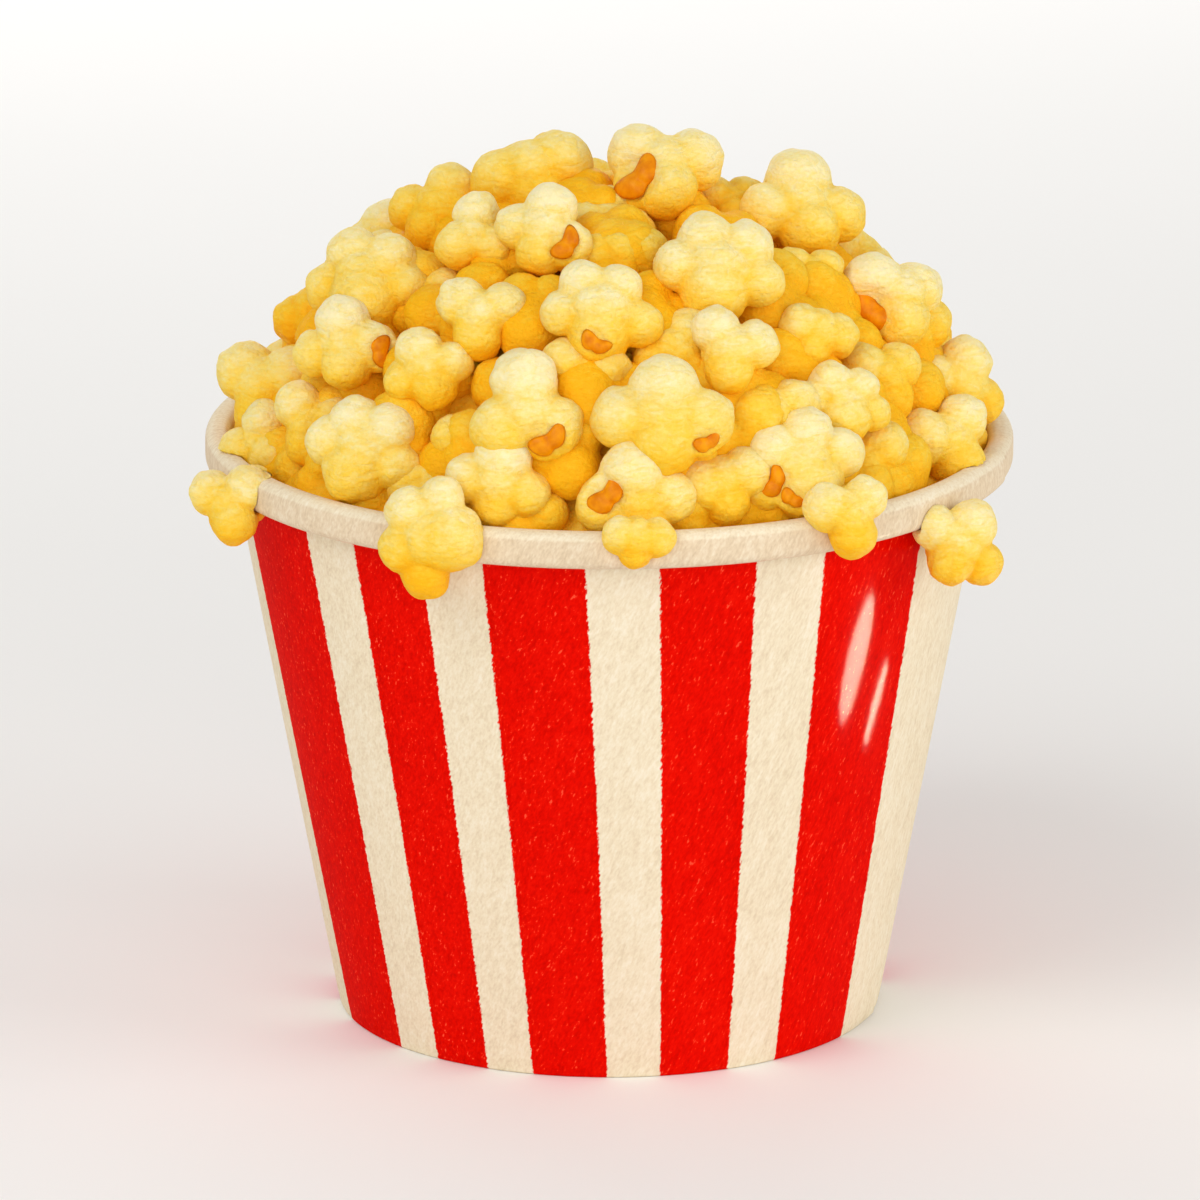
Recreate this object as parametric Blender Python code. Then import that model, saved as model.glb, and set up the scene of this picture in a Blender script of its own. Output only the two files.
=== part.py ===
"""A paper bucket with red and cream stripes, heaped with buttered popcorn.

The bucket is a tapered board sleeve whose top edge is rolled over into a flat-topped rim and whose
bottom edge is crimped into a foot. A separate round board lies on the ledge of that foot, so the
base is raised above the table. The popcorn is one solid: it fills the sleeve, and above the rim it
is a dome with the uneven outline of its outer flakes. A few more flakes hang over the rim, each a
solid of its own.

The frame is +Z up, with the origin on the table at the middle of the foot and the front at -Y.
Azimuths are in degrees about Z, from the front, and positive to the right.
"""

import math

import bmesh
import bpy
import numpy as np

MM = 0.001

# The bucket's driving sizes.
RIM_RADIUS = 88 * MM
HEIGHT = 130 * MM
FOOT_RADIUS = 59.3 * MM
WALL_TAPER = 0.187
BOARD = 0.8 * MM
RIM_HEIGHT = 8 * MM
RIM_CORNER = 2.4 * MM
LIP_GAP = 0.6 * MM
FOOT_HEIGHT = 9 * MM
FOOT_THICKNESS = 2.0 * MM
FOOT_CHAMFER = 0.4 * MM
BASE_THICKNESS = 1.0 * MM
GAP = 0.35 * MM

# The dome that the middles of the outer flakes lie on, and the loose popcorn under them.
DOME_MIDDLE = HEIGHT - 3 * MM
DOME_RADIUS = 76 * MM
DOME_RISE = 62 * MM
CORE_SHARE = 0.88

# How finely the pieces are faceted.
BUCKET_SIDES = 56
CORNER_STEPS = 2
CORE_STEPS = 12
SKIN_STEP = 2.4 * MM
SKIN_KEPT = 0.12

# A flake's lobes: across, up and out of its plane, then the radius, all as shares of half its size.
FLAKE_KINDS = {
    "club": [
        (0.00, 0.44, 0.08, 0.50),
        (-0.53, -0.02, 0.00, 0.44),
        (0.54, -0.06, 0.04, 0.44),
        (0.02, -0.36, 0.08, 0.46),
        (0.00, 0.00, -0.36, 0.54),
    ],
    "heart": [
        (-0.39, 0.30, 0.06, 0.50),
        (0.42, 0.24, 0.00, 0.48),
        (0.03, -0.36, 0.10, 0.50),
        (0.00, 0.00, -0.36, 0.56),
    ],
    "cloud": [
        (-0.27, 0.44, 0.02, 0.42),
        (0.29, 0.44, 0.05, 0.40),
        (-0.60, 0.00, 0.00, 0.38),
        (0.61, -0.04, 0.00, 0.38),
        (0.00, -0.26, 0.10, 0.54),
        (0.00, 0.02, -0.36, 0.54),
    ],
    "pair": [
        (-0.42, -0.02, 0.03, 0.52),
        (0.44, 0.12, 0.00, 0.52),
        (0.00, -0.38, 0.05, 0.46),
        (0.00, 0.00, -0.36, 0.52),
    ],
}

# The flakes on the front of the heap: kind, azimuth and rise above the rim in degrees, size across
# in mm, turn in its own plane in degrees, and how deep it is sunk in mm. They lean to face the
# front, and the others hardly do.
FRONT_FLAKES = [
    ("pair", -79, 77, 29, 20, 1),
    ("club", -86, 60, 25, -10, 3),
    ("cloud", -66, 41, 30, 5, 1),
    ("heart", -47, 58, 21, -50, 1),
    ("club", -22, 61, 23, -15, -1),
    ("pair", -90, 29, 22, 40, 3),
    ("club", -57, 29, 24, 15, -1),
    ("heart", -80, 13, 27, 10, -1),
    ("heart", -29, 41, 22, 0, 1),
    ("club", -36, 29, 22, 30, 1),
    ("cloud", -2, 43, 27, -5, 0),
    ("heart", -15, 23, 28, -55, -1),
    ("heart", -72, 3, 22, 60, -4),
    ("heart", -61, 13, 22, -10, 4),
    ("cloud", -43, 11, 28, -10, -2),
    ("pair", -25, 17, 20, 0, 5),
    ("club", -18, 9, 25, -10, -1),
    ("heart", 54, 79, 28, -8, -1),
    ("club", 84, 57, 29, -5, 0),
    ("cloud", 28, 50, 30, -14, -1),
    ("heart", 63, 47, 18, 0, 5),
    ("heart", 76, 34, 27, -10, 0),
    ("heart", 24, 34, 22, -20, -1),
    ("pair", 47, 35, 20, -30, 2),
    ("club", 9, 22, 31, 0, -2),
    ("cloud", 44, 20, 22, -15, 0),
    ("pair", 31, 21, 22, 10, 3),
    ("club", 81, 12, 25, -30, -4),
    ("pair", 78, 27, 24, 0, 3),
    ("heart", 70, 8, 24, 15, -1),
    ("cloud", 32, 10, 29, 20, -2),
    ("club", 4, 7, 28, 8, -2),
    ("pair", 4, 61, 22, 0, 5),
    ("heart", 61, 22, 22, 0, 4),
    ("heart", -5, 31, 22, 0, 5),
    ("pair", 48, 7, 24, 20, 3),
    ("pair", -32, 6, 22, -10, 4),
    ("pair", 19, 9, 23, 10, 1),
    ("heart", -44, 87, 20, 0, 8),
    ("heart", -54, 45, 20, 20, 9),
    ("pair", 14, 37, 22, 30, 5),
    ("heart", 86, 68, 20, 0, 6),
]
FRONT = np.array([0.0, -0.96, 0.28])
FRONT_LEAN = 1.2
COURSE_LEAN = 0.3

# The rest of the heap: courses of flakes at these rises, with this many to a full turn, loosened
# by these amounts in degrees. The back of the heap is lower than its front by the slump.
COURSES = [(6, 19), (22, 17), (38, 14), (54, 9), (71, 5), (88, 1)]
COURSE_SPACING = 15 * MM
COURSE_SIZES = (21, 30)
LOOSE_AZIMUTH = 0.35
LOOSE_RISE = 7
LOOSE_SINK = 3
SLUMP = 9

# The flakes that hang over the rim: kind, azimuth, height of the middle above the table in mm, how
# far it stands out from the rim's outer face in mm, size across in mm and turn in degrees.
RIM_FLAKES = [
    ("heart", -63.5, 123.5, 2.5, 21, 20),
    ("cloud", -24.5, 128, 1.5, 27, 82),
    ("pair", 4, 129.5, 0.5, 17, -15),
    ("heart", 34, 130.5, 2, 21, 10),
    ("club", 54.5, 118, 3.5, 23, -40),
    ("club", 131, 127, 2, 24, 40),
    ("heart", 172, 126, -1, 25, -15),
]

PAPER = ((0.90, 0.76, 0.53, 1.0), 0.75)
POPCORN = ((0.94, 0.68, 0.16, 1.0), 0.80)


def clear_scene():
    for old in list(bpy.data.objects):
        bpy.data.objects.remove(old)


def material(name, colour, roughness):
    made = bpy.data.materials.new(name)
    made.use_nodes = True
    surface = made.node_tree.nodes["Principled BSDF"]
    surface.inputs["Base Color"].default_value = colour
    surface.inputs["Roughness"].default_value = roughness
    surface.inputs["Metallic"].default_value = 0.0
    return made


def mesh_object(name, points, faces, finish=None):
    """An object made from points and faces, facing out. With no finish it is a guide or cutter."""
    mesh = bpy.data.meshes.new(name)
    mesh.from_pydata([tuple(p) for p in points], [], faces)
    shape = bmesh.new()
    shape.from_mesh(mesh)
    bmesh.ops.recalc_face_normals(shape, faces=shape.faces)
    shape.to_mesh(mesh)
    shape.free()
    mesh.shade_smooth()
    mesh.set_sharp_from_angle(angle=math.radians(40))
    made = bpy.data.objects.new(name, mesh)
    bpy.context.scene.collection.objects.link(made)
    if finish is None:
        made.hide_render = True
        made.display_type = "WIRE"
    else:
        mesh.materials.append(finish)
    return made


def combine(target, tool, operation):
    modifier = target.modifiers.new(tool.name, "BOOLEAN")
    modifier.operation = operation
    modifier.solver = "EXACT"
    modifier.object = tool


def turned(name, outline, finish=None):
    """A closed (radius, height) outline turned about the Z axis. A point at radius 0 is a pole."""
    points, rings = [], []
    for radius, height in outline:
        if radius == 0:
            rings.append([len(points)] * BUCKET_SIDES)
            points.append((0, 0, height))
            continue
        rings.append([len(points) + i for i in range(BUCKET_SIDES)])
        for i in range(BUCKET_SIDES):
            angle = 2 * math.pi * i / BUCKET_SIDES
            points.append((radius * math.sin(angle), -radius * math.cos(angle), height))
    faces = []
    for low, high in zip(rings, rings[1:] + rings[:1]):
        for i in range(BUCKET_SIDES):
            j = (i + 1) % BUCKET_SIDES
            face = list(dict.fromkeys((low[i], low[j], high[j], high[i])))
            if len(face) > 2:
                faces.append(face)
    return mesh_object(name, points, faces, finish)


def corner(radius, height, size, start, end):
    """Points of an arc about (radius, height), from one angle to another in degrees."""
    sweep = np.radians(np.linspace(start, end, CORNER_STEPS + 1))
    return [(radius + size * math.cos(a), height + size * math.sin(a)) for a in sweep]


def wall_radius(height):
    """The sleeve's outer radius at a height."""
    return FOOT_RADIUS + WALL_TAPER * height


def inner_radius(height):
    return wall_radius(height) - BOARD


def roll_outside(grow):
    """The rim's outer side, from the lip under the roll, round both corners, to its flat top."""
    size = RIM_CORNER + grow
    low = HEIGHT - RIM_HEIGHT + RIM_CORNER
    outer = RIM_RADIUS - RIM_CORNER
    lip = (wall_radius(low) + LIP_GAP, low - size)
    lower = corner(outer, low, size, -90, 0)
    upper = corner(outer, HEIGHT - RIM_CORNER, size, 0, 90)
    return [lip] + lower + upper


def build_sleeve(finish):
    """One board, from the crimped foot, up the wall and over into the rolled rim."""
    top = HEIGHT - RIM_CORNER
    low = HEIGHT - RIM_HEIGHT + RIM_CORNER
    outer = RIM_RADIUS - RIM_CORNER
    hollow = RIM_CORNER - BOARD
    foot = [
        (FOOT_RADIUS - FOOT_THICKNESS, 0),
        (FOOT_RADIUS - FOOT_CHAMFER, 0),
        (wall_radius(FOOT_CHAMFER), FOOT_CHAMFER),
    ]
    inside_roll = (
        corner(wall_radius(top) + hollow, top, hollow, 180, 90)
        + corner(outer, top, hollow, 90, 0)
        + corner(outer, low, hollow, 0, -90)
        + [(wall_radius(low) + LIP_GAP, low - hollow)]
    )
    inner_corner = corner(inner_radius(top) + RIM_CORNER, top, RIM_CORNER, 90, 180)
    ledge = [
        (inner_radius(FOOT_HEIGHT), FOOT_HEIGHT),
        (wall_radius(FOOT_HEIGHT) - FOOT_THICKNESS, FOOT_HEIGHT),
    ]
    outline = foot + inside_roll + roll_outside(0) + inner_corner + ledge
    return turned("bucket_sleeve", outline, finish)


def build_base(finish):
    """The round board that lies on the foot's ledge."""
    low = FOOT_HEIGHT + GAP
    high = low + BASE_THICKNESS
    edge = inner_radius(low) - GAP
    return turned("base_disc", [(0, low), (edge, low), (edge, high), (0, high)], finish)


def chance(index, salt):
    """A number from 0 to 1 that looks random and is the same each time."""
    return (math.sin(index * 12.9898 + salt * 78.233) * 43758.5453) % 1.0


def dome_point(azimuth, rise, sink=0.0):
    """The middle of a flake on the dome, sunk towards the dome's own middle."""
    a, r = math.radians(azimuth), math.radians(rise)
    radius = (DOME_RADIUS - sink) * math.cos(r)
    height = DOME_MIDDLE + (DOME_RISE - sink) * math.sin(r)
    return np.array([radius * math.sin(a), -radius * math.cos(a), height])


def flake_axes(azimuth, rise, turn, lean):
    """A flake's across, up and outward directions. The lean turns its face towards the front."""
    a, r, t = math.radians(azimuth), math.radians(rise), math.radians(turn)
    out = np.array([math.sin(a) * math.cos(r), -math.cos(a) * math.cos(r), math.sin(r)])
    out = out + lean * FRONT
    out = out / np.linalg.norm(out)
    across = np.cross([0, 0, 1.0], out)
    across = across / np.linalg.norm(across)
    up = np.cross(out, across)
    turned_across = math.cos(t) * across + math.sin(t) * up
    turned_up = math.cos(t) * up - math.sin(t) * across
    return turned_across, turned_up, out


def lobes_of(kind, middle, axes, size):
    """The balls of one flake, as rows of x, y, z and radius in metres."""
    shape = np.array(FLAKE_KINDS[kind]) * size * MM / 2
    return np.column_stack([middle + shape[:, :3] @ np.array(axes), shape[:, 3]])


def course_flakes():
    """Flakes of the courses that the front ones leave room for, as rows like theirs."""
    taken = [dome_point(azimuth, rise) for _, azimuth, rise, *_ in FRONT_FLAKES]
    kinds = sorted(FLAKE_KINDS)
    small, large = COURSE_SIZES
    found, index = [], 0
    for course, (rise, count) in enumerate(COURSES):
        for i in range(count):
            index += 1
            step = i + 0.5 * (course % 2) + LOOSE_AZIMUTH * (chance(index, 1) - 0.5)
            azimuth = 360 / count * step
            height = rise + LOOSE_RISE * (chance(index, 2) - 0.5)
            place = dome_point(azimuth, height)
            if min(np.linalg.norm(place - other) for other in taken) < COURSE_SPACING:
                continue
            kind = kinds[int(chance(index, 3) * len(kinds))]
            size = small + (large - small) * chance(index, 4)
            turn = 360 * chance(index, 5)
            sink = SLUMP * math.sin(math.radians(rise)) + LOOSE_SINK * chance(index, 6) - 1
            found.append((kind, azimuth, height, size, turn, sink))
            taken.append(place)
    return found


def dome_lobes():
    """Every ball of the heap's outer flakes."""
    placed = [(row, FRONT_LEAN) for row in FRONT_FLAKES]
    placed += [(row, COURSE_LEAN) for row in course_flakes()]
    rows = []
    for (kind, azimuth, rise, size, turn, sink), lean in placed:
        axes = flake_axes(azimuth, rise, turn, lean)
        rows.append(lobes_of(kind, dome_point(azimuth, rise, sink * MM), axes, size))
    return np.concatenate(rows)


def rim_flakes():
    """The balls of each flake that hangs over the rim."""
    for kind, azimuth, height, stand, size, turn in RIM_FLAKES:
        a = math.radians(azimuth)
        radius = RIM_RADIUS + stand * MM
        middle = np.array([radius * math.sin(a), -radius * math.cos(a), height * MM])
        lean = FRONT_LEAN if abs(azimuth) < 90 else 0.0
        yield lobes_of(kind, middle, flake_axes(azimuth, 0, turn, lean), size)


def unit_ball():
    """The points and triangles of a ball of radius 1."""
    shape = bmesh.new()
    bmesh.ops.create_icosphere(shape, subdivisions=3, radius=1.0)
    points = np.array([v.co.normalized() for v in shape.verts])
    triangles = np.array([[v.index for v in f.verts] for f in shape.faces])
    shape.free()
    return points, triangles


def core_outline():
    """The loose popcorn under the outer flakes: a smaller dome on a short neck in the sleeve."""
    neck = HEIGHT - 2 * RIM_CORNER
    outline = [(0, neck), (inner_radius(neck) - 2 * GAP, neck)]
    for rise in np.linspace(0, math.pi / 2, CORE_STEPS, endpoint=False):
        height = DOME_MIDDLE + CORE_SHARE * DOME_RISE * math.sin(rise)
        if height > HEIGHT:
            outline.append((CORE_SHARE * DOME_RADIUS * math.cos(rise), height))
    return outline + [(0, DOME_MIDDLE + CORE_SHARE * DOME_RISE)]


def keep_outer_shell(made):
    """Applies the object's modifiers, then removes every loose shell but the largest."""
    graph = bpy.context.evaluated_depsgraph_get()
    settled = bpy.data.meshes.new_from_object(made.evaluated_get(graph))
    made.modifiers.clear()
    made.data = settled
    shape = bmesh.new()
    shape.from_mesh(settled)
    shells, seen = [], set()
    for start in shape.verts:
        if start in seen:
            continue
        shell, waiting = {start}, [start]
        while waiting:
            for edge in waiting.pop().link_edges:
                fresh = set(edge.verts) - shell
                shell |= fresh
                waiting.extend(fresh)
        seen |= shell
        shells.append(shell)
    for shell in sorted(shells, key=len)[:-1]:
        bmesh.ops.delete(shape, geom=list(shell), context="VERTS")
    shape.to_mesh(settled)
    shape.free()


def build_dome():
    """The outer flakes fused with the loose popcorn under them into one skin."""
    lobes = dome_lobes()
    unit, triangles = unit_ball()
    points = (lobes[:, None, :3] + lobes[:, None, 3:] * unit).reshape(-1, 3)
    firsts = np.arange(len(lobes)) * len(unit)
    faces = (firsts[:, None, None] + triangles).reshape(-1, 3).tolist()
    core = turned("core", core_outline())
    faces += [[len(points) + i for i in f.vertices] for f in core.data.polygons]
    points = points.tolist() + [v.co for v in core.data.vertices]
    bpy.data.objects.remove(core)
    dome = mesh_object("dome", points, faces)
    skin = dome.modifiers.new("skin", "REMESH")
    skin.mode = "VOXEL"
    skin.voxel_size = SKIN_STEP
    fewer = dome.modifiers.new("fewer_faces", "DECIMATE")
    fewer.decimate_type = "COLLAPSE"
    fewer.ratio = SKIN_KEPT
    keep_outer_shell(dome)
    return dome


def build_heap(finish):
    """The popcorn: a frustum that fills the sleeve, joined to the dome above it."""
    # The flats of the sleeve's inside come this much nearer to the axis than its corners do.
    flat = math.cos(math.pi / BUCKET_SIDES)
    floor = FOOT_HEIGHT + 2 * GAP + BASE_THICKNESS
    neck = HEIGHT - RIM_CORNER
    side = inner_radius(neck) * flat - GAP
    below = HEIGHT - 4 * RIM_HEIGHT
    beyond = RIM_RADIUS + 3 * RIM_HEIGHT
    around_neck = [
        (inner_radius(below) * flat - 2 * GAP, below),
        (beyond, below),
        (beyond, HEIGHT + GAP),
        (side - GAP, HEIGHT + GAP),
        (side - GAP, neck),
    ]
    dome = build_dome()
    combine(dome, turned("around_neck", around_neck), "DIFFERENCE")
    frustum = [(0, floor), (inner_radius(floor) * flat - GAP, floor), (side, neck), (0, neck)]
    heap = turned("popcorn_heap", frustum, finish)
    combine(heap, dome, "UNION")
    return heap


def flake_object(name, lobes, finish=None):
    """A ball whose points slide out along their rays to the last lobe that each of them meets."""
    ways, triangles = unit_ball()
    middle = lobes[:, :3].mean(axis=0)
    offset = lobes[:, :3] - middle
    along = ways @ offset.T
    inside = along**2 - (offset**2).sum(axis=1) + lobes[:, 3] ** 2
    reach = np.where(inside > 0, along + np.sqrt(np.maximum(inside, 0)), 0).max(axis=1)
    return mesh_object(name, middle + reach[:, None] * ways, triangles.tolist(), finish)


def build_rim_flakes(finish, heap):
    """The flakes over the rim, cut back from the bucket, with the heap cut back from them."""
    below = HEIGHT - 4 * RIM_HEIGHT
    side = [(0, below), (wall_radius(below) + GAP, below)] + roll_outside(GAP)
    bucket_space = turned("bucket_space", side + [(0, HEIGHT + GAP)])
    for number, lobes in enumerate(rim_flakes(), start=1):
        name = f"rim_flake_{number}"
        combine(flake_object(name, lobes, finish), bucket_space, "DIFFERENCE")
        room = flake_object(f"room_{number}", lobes + np.array([0, 0, 0, GAP]))
        combine(heap, room, "DIFFERENCE")


def main():
    clear_scene()
    paper = material("paper", *PAPER)
    popcorn = material("popcorn", *POPCORN)
    build_sleeve(paper)
    build_base(paper)
    build_rim_flakes(popcorn, build_heap(popcorn))


main()
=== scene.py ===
"""Looks of the striped popcorn bucket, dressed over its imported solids.

The bucket becomes a printed board sleeve with a rolled rim, a crimped foot and a lapped seam. The
heap becomes single popped flakes at true size, in an outer layer and an under layer, over a
smaller rough core, with amber hulls left in some of them. All lengths are metres, +Z is up and the
front is -Y. Azimuths are degrees about Z from the front, positive to the right.
"""

import math

import bpy
import numpy as np
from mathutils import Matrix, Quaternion, Vector


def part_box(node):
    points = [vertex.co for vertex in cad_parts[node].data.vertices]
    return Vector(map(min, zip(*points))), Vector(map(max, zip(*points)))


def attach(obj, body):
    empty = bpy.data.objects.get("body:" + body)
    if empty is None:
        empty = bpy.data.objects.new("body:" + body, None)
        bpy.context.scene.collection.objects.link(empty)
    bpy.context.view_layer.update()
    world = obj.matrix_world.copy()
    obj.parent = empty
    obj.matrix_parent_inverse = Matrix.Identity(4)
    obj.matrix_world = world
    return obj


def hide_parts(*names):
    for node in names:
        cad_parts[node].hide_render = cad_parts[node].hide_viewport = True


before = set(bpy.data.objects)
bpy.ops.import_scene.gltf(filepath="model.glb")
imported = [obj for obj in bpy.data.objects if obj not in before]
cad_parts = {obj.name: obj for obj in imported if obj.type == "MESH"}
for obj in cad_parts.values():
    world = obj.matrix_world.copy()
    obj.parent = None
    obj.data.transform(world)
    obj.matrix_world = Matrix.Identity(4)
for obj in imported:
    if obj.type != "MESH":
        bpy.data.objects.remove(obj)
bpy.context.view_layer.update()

MM = 0.001
TAU = 2 * math.pi

# The bucket's sizes, read from its solids where they show them.
SLEEVE_LOW, SLEEVE_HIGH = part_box("bucket_sleeve")
BASE_LOW, BASE_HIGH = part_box("base_disc")
HEAP_LOW, HEAP_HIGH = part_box("popcorn_heap")
RIM_RADIUS = SLEEVE_HIGH[0]
HEIGHT = SLEEVE_HIGH[2]
BASE_RADIUS = BASE_HIGH[0]
WALL_TAPER = 0.187
BOARD = 0.8 * MM
RIM_HEIGHT = 8 * MM
RIM_CORNER = 2.4 * MM
LIP_GAP = 0.6 * MM
FOOT_THICKNESS = 2.0 * MM
CONTACT = 0.15 * MM
FOOT_RADIUS = BASE_RADIUS + 0.35 * MM + BOARD - WALL_TAPER * BASE_LOW[2]

# The dome that the middles of the outer flakes lie on.
DOME_MIDDLE = HEIGHT - 3 * MM
DOME_RADIUS = 76 * MM
DOME_RISE = 62 * MM

# A flake's lobes: across, up and out of its plane, then the radius, all as shares of half its size.
FLAKE_KINDS = {
    "club": [
        (0.00, 0.44, 0.08, 0.50),
        (-0.53, -0.02, 0.00, 0.44),
        (0.54, -0.06, 0.04, 0.44),
        (0.02, -0.36, 0.08, 0.46),
        (0.00, 0.00, -0.36, 0.54),
    ],
    "heart": [
        (-0.39, 0.30, 0.06, 0.50),
        (0.42, 0.24, 0.00, 0.48),
        (0.03, -0.36, 0.10, 0.50),
        (0.00, 0.00, -0.36, 0.56),
    ],
    "cloud": [
        (-0.27, 0.44, 0.02, 0.42),
        (0.29, 0.44, 0.05, 0.40),
        (-0.60, 0.00, 0.00, 0.38),
        (0.61, -0.04, 0.00, 0.38),
        (0.00, -0.26, 0.10, 0.54),
        (0.00, 0.02, -0.36, 0.54),
    ],
    "pair": [
        (-0.42, -0.02, 0.03, 0.52),
        (0.44, 0.12, 0.00, 0.52),
        (0.00, -0.38, 0.05, 0.46),
        (0.00, 0.00, -0.36, 0.52),
    ],
}

# How deep a cup is hollowed, as a share of its radius.
CUP_DEPTH = 0.34

# The plump middle of every flake, which fills in its face between the lobes.
FACE = (0.0, 0.02, 0.03, 0.54)

# The flakes on the front of the heap: kind, azimuth and rise above the rim in degrees, size across
# in mm, turn in its own plane in degrees, how deep it is sunk in mm, and how golden it is: butter,
# and painted shade on the sunk flakes.
FRONT_FLAKES = [
    ("pair", -79, 77, 29, 20, 1, 0.50),
    ("club", -86, 60, 25, -10, 3, 0.75),
    ("cloud", -66, 41, 30, 5, 1, 0.30),
    ("heart", -47, 58, 21, -50, 1, 0.20),
    ("club", -22, 61, 23, -15, -1, 0.05),
    ("pair", -90, 29, 22, 40, 3, 0.80),
    ("club", -57, 29, 24, 15, -1, 0.05),
    ("heart", -80, 13, 27, 10, -1, 0.45),
    ("heart", -29, 41, 22, 0, 1, 0.20),
    ("club", -36, 29, 22, 30, 1, 0.30),
    ("cloud", -2, 43, 27, -5, 0, 0.20),
    ("heart", -15, 23, 28, -55, -1, 0.10),
    ("heart", -74, 4, 22, 60, -2, 0.22),
    ("heart", -60, 12, 22, -10, 1, 0.45),
    ("cloud", -43, 11, 28, -10, -2, 0.10),
    ("pair", -25, 17, 20, 0, 5, 0.50),
    ("club", -18, 9, 25, -10, -1, 0.15),
    ("heart", 54, 79, 28, -8, -1, 0.15),
    ("club", 84, 57, 29, -5, 0, 0.20),
    ("cloud", 28, 50, 30, -14, -1, 0.12),
    ("heart", 63, 47, 18, 0, 5, 0.60),
    ("heart", 76, 34, 27, -10, 0, 0.00),
    ("heart", 24, 34, 22, -20, -1, 0.10),
    ("pair", 47, 35, 20, -30, 2, 0.35),
    ("club", 9, 22, 31, 0, -2, 0.22),
    ("cloud", 44, 20, 22, -15, 0, 0.15),
    ("pair", 31, 21, 22, 10, 3, 0.35),
    ("club", 81, 13, 25, -30, -2, 0.35),
    ("pair", 78, 27, 24, 0, 3, 0.80),
    ("heart", 69, 6, 25, 15, -2, 0.30),
    ("cloud", 32, 10, 29, 20, -2, 0.12),
    ("club", 4, 7, 28, 8, -2, 0.30),
    ("pair", 4, 61, 22, 0, 5, 0.70),
    ("heart", 61, 22, 22, 0, 4, 0.60),
    ("heart", -5, 31, 22, 0, 5, 0.55),
    ("pair", 48, 7, 24, 20, 3, 0.70),
    ("pair", -32, 6, 22, -10, 4, 0.40),
    ("pair", 19, 9, 23, 10, 1, 0.35),
    ("heart", -44, 87, 20, 0, 8, 0.60),
    ("heart", -54, 45, 20, 20, 9, 0.55),
    ("pair", 14, 37, 22, 30, 5, 0.50),
    ("heart", 86, 68, 20, 0, 6, 0.60),
]
FRONT = np.array([0.0, -0.96, 0.28])
FRONT_LEAN = 1.2
COURSE_LEAN = 0.3

# The rest of the outer layer: courses of flakes at these rises, with this many to a full turn.
COURSES = [(6, 19), (22, 17), (38, 14), (54, 9), (71, 5), (88, 1)]
COURSE_SPACING = 15 * MM
COURSE_SIZES = (21, 30)
LOOSE_AZIMUTH = 0.35
LOOSE_RISE = 7
LOOSE_SINK = 3
SLUMP = 9

# The under layer, which shows between the outer flakes: the rise of each course, how many flakes
# are in it and how deep it is sunk in mm.
UNDER_COURSES = [(-1, 25, 3), (13, 21, 6), (28, 17, 7), (45, 13, 7), (62, 8, 7), (80, 3, 7)]
UNDER_SIZES = (25, 30)

# The flakes that hang over the rim: kind, azimuth, height of the middle above the table in mm, how
# far it stands out from the rim's outer face in mm, size across in mm, turn, and how buttery it is.
RIM_FLAKES = [
    ("heart", -63.5, 123.5, 2.5, 21, 20, 0.35),
    ("cloud", -24.5, 128, 1.5, 27, 82, 0.25),
    ("pair", 4, 129.5, 0.5, 17, -15, 0.45),
    ("heart", 34, 130.5, 2, 21, 10, 0.40),
    ("club", 54.5, 118, 3.5, 23, -40, 0.30),
    ("club", 131, 127, 2, 24, 40, 0.35),
    ("heart", 172, 126, -1, 25, -15, 0.30),
]

# Hulls left in the front flakes: the flake's row, where the hull lies across and up its face as
# shares of half its size, its own length in mm and its turn in degrees.
HULLS = [
    (17, -0.46, -0.36, 12.0, 42),
    (4, 0.57, -0.26, 8.0, 75),
    (6, 0.80, -0.27, 7.5, -90),
    (10, -0.03, -0.56, 7.0, -25),
    (11, 0.64, 0.10, 9.0, 90),
    (21, -0.50, -0.23, 12.0, -42),
    (30, -0.54, 0.03, 7.5, 40),
    (30, -0.40, -0.28, 6.0, -55),
    (31, -0.45, 0.15, 9.5, 35),
    (24, 0.58, -0.36, 6.5, 25),
]

# The printed stripes: the azimuth of each one's middle and how wide it is, in degrees, at half the
# bucket's height. The lap is in the wide gap after the first. The print runs a little out of true,
# by this many degrees over each metre of height.
STRIPES = [
    (46.1, 21.1),
    (16.4, 14.9),
    (-10.0, 15.7),
    (-34.2, 12.5),
    (-62.3, 22.2),
    (-96.0, 16.0),
    (-122.5, 16.0),
    (-149.0, 16.0),
    (-175.5, 16.0),
    (158.0, 16.0),
    (131.5, 16.0),
    (105.0, 16.0),
]
STRIPE_SKEW = 26.0
SEAM_AZIMUTH = 76.0

# Two small low lights seen only as gloss on the sleeve's right front stripe: each one's size,
# power, roll in degrees, place and the point of the wall that it faces.
GLOSS_LIGHTS = {
    "gloss_wide": ((0.018, 0.034), 0.058, -28, (0.166, -0.045, 0.026), (0.0531, -0.0543, 0.0906)),
    "gloss_narrow": ((0.007, 0.024), 0.015, -25, (0.160, -0.012, 0.021), (0.0598, -0.0480, 0.0840)),
}

# How finely the pieces are made.
FRONT_CELLS = 26
OUTER_CELLS = 20
UNDER_CELLS = 13
CORE_CELLS = 72
SLEEVE_COLUMNS = 420


# --- Placing -------------------------------------------------------------------------------------


def chance(index, salt):
    """A number from 0 to 1 that looks random and is the same each time."""
    return (math.sin(index * 12.9898 + salt * 78.233) * 43758.5453) % 1.0


def chances(index, salt, shape):
    """An array of such numbers, each from its own place in the array."""
    places = np.arange(int(np.prod(shape))).reshape(shape)
    return (np.sin(index * 12.9898 + salt * 78.233 + places * 37.719) * 43758.5453) % 1.0


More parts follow.
